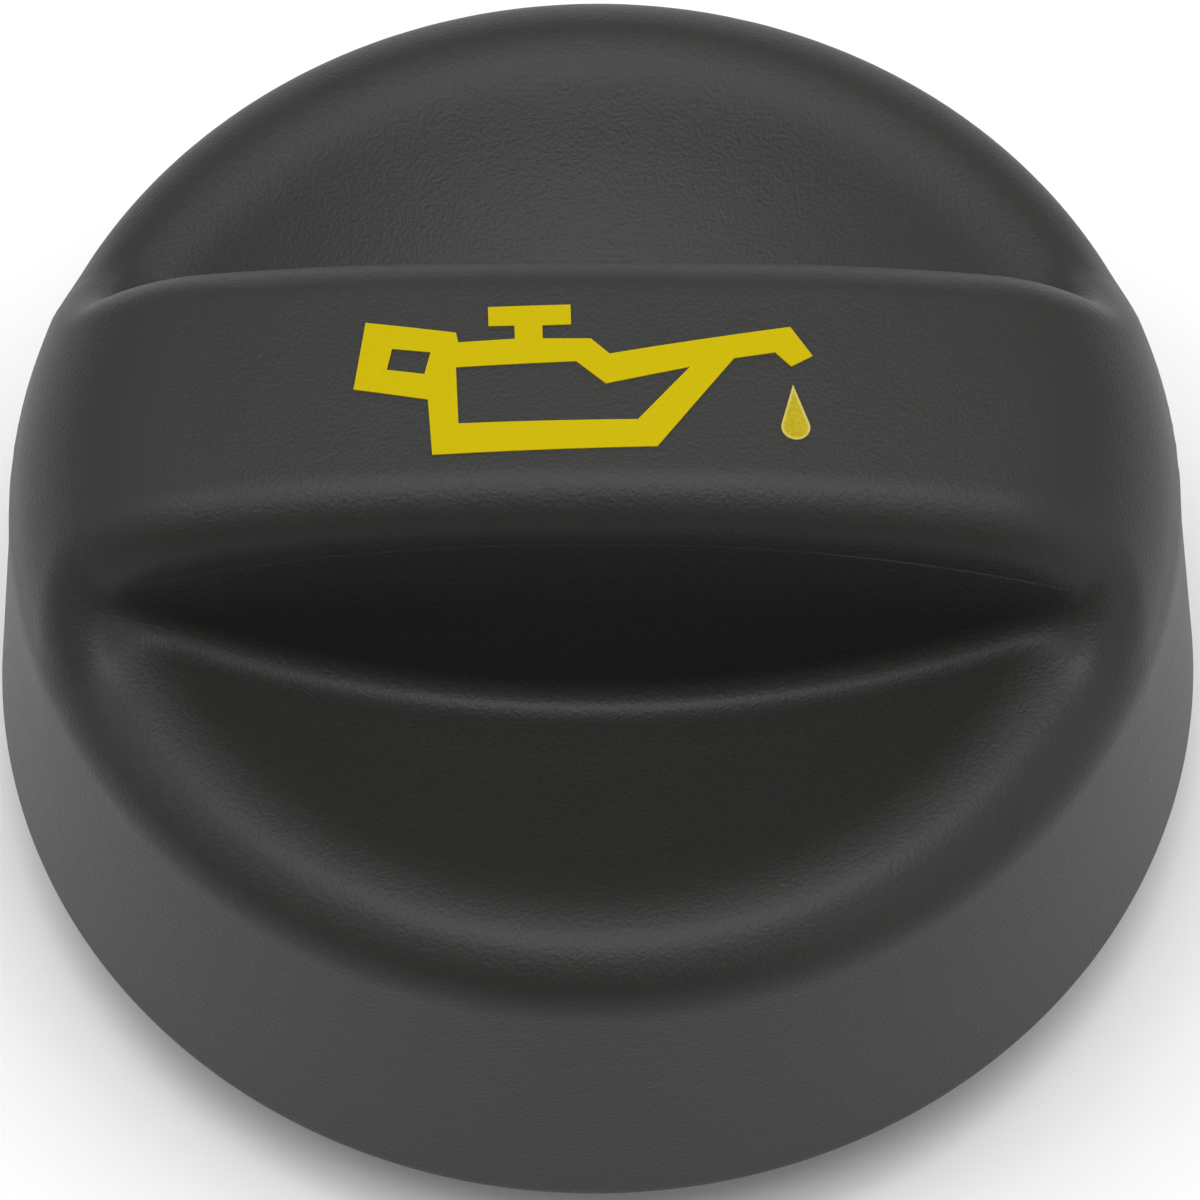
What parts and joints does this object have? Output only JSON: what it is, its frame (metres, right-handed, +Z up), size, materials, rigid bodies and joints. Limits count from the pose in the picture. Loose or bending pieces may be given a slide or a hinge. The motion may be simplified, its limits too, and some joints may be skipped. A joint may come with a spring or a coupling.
{
  "type": "oil filler cap",
  "caption": "Round engine oil filler cap with a deep skirt, a grip bar between two finger recesses, a printed oil can, and a bayonet plug with a rubber seal underneath.",
  "frame": {"origin": "on the turning axis, in the plane where the seal ring meets the filler neck", "axes": "+Z up along the turning axis, +X along the grip bar towards the oil drop, -Y towards the reader of the symbol"},
  "size_m": [0.065, 0.065, 0.0363],
  "materials": {
    "grip": "fine spark-eroded grain, charcoal black",
    "plug": "plain satin moulding, black",
    "seal": "matt black rubber",
    "yellow_ink": "flat yellow pad-printed ink",
    "gold_ink": "thin, slightly mottled gold-yellow ink"
  },
  "bodies": {
    "root": {"grip_cap": "grip", "closure_plug": "plug", "seal_ring": "seal", "oil_can_print": "yellow_ink", "oil_drop_print": "gold_ink"}
  },
  "joints": []
}
